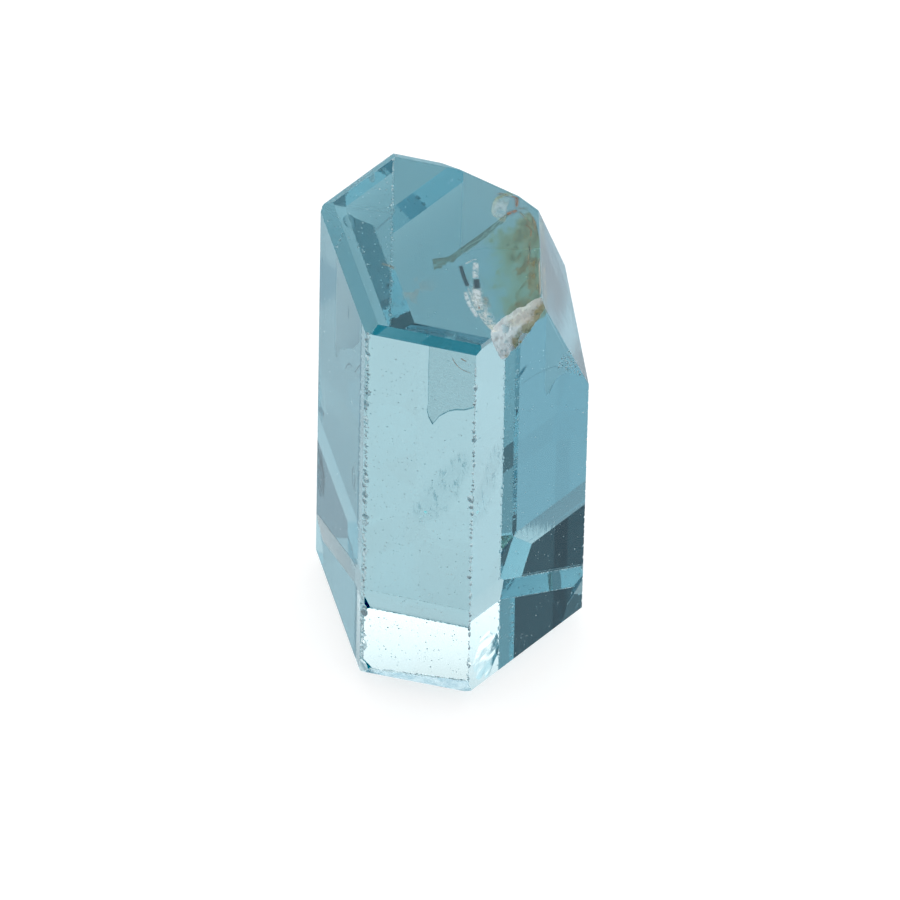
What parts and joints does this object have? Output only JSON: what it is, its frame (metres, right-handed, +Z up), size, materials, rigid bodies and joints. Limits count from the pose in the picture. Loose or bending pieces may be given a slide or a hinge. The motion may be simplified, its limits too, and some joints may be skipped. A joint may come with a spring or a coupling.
{
  "type": "aquamarine crystal",
  "caption": "Free-standing hexagonal beryl prism with flat ends, narrow pyramid facets and a steep break down one upper corner; a display specimen.",
  "frame": {"origin": "on the lower end face's plane, under the middle of the bounding box", "axes": "+Z up along the long crystal axis; -Y is the way the wide front prism face looks; +X towards the broken upper corner"},
  "size_m": [0.0152, 0.0132, 0.0289],
  "materials": {
    "beryl": "clear pale blue, natural growth faces with fine chips along the upright edges"
  },
  "bodies": {
    "root": {"aquamarine_crystal": "beryl"}
  },
  "joints": []
}
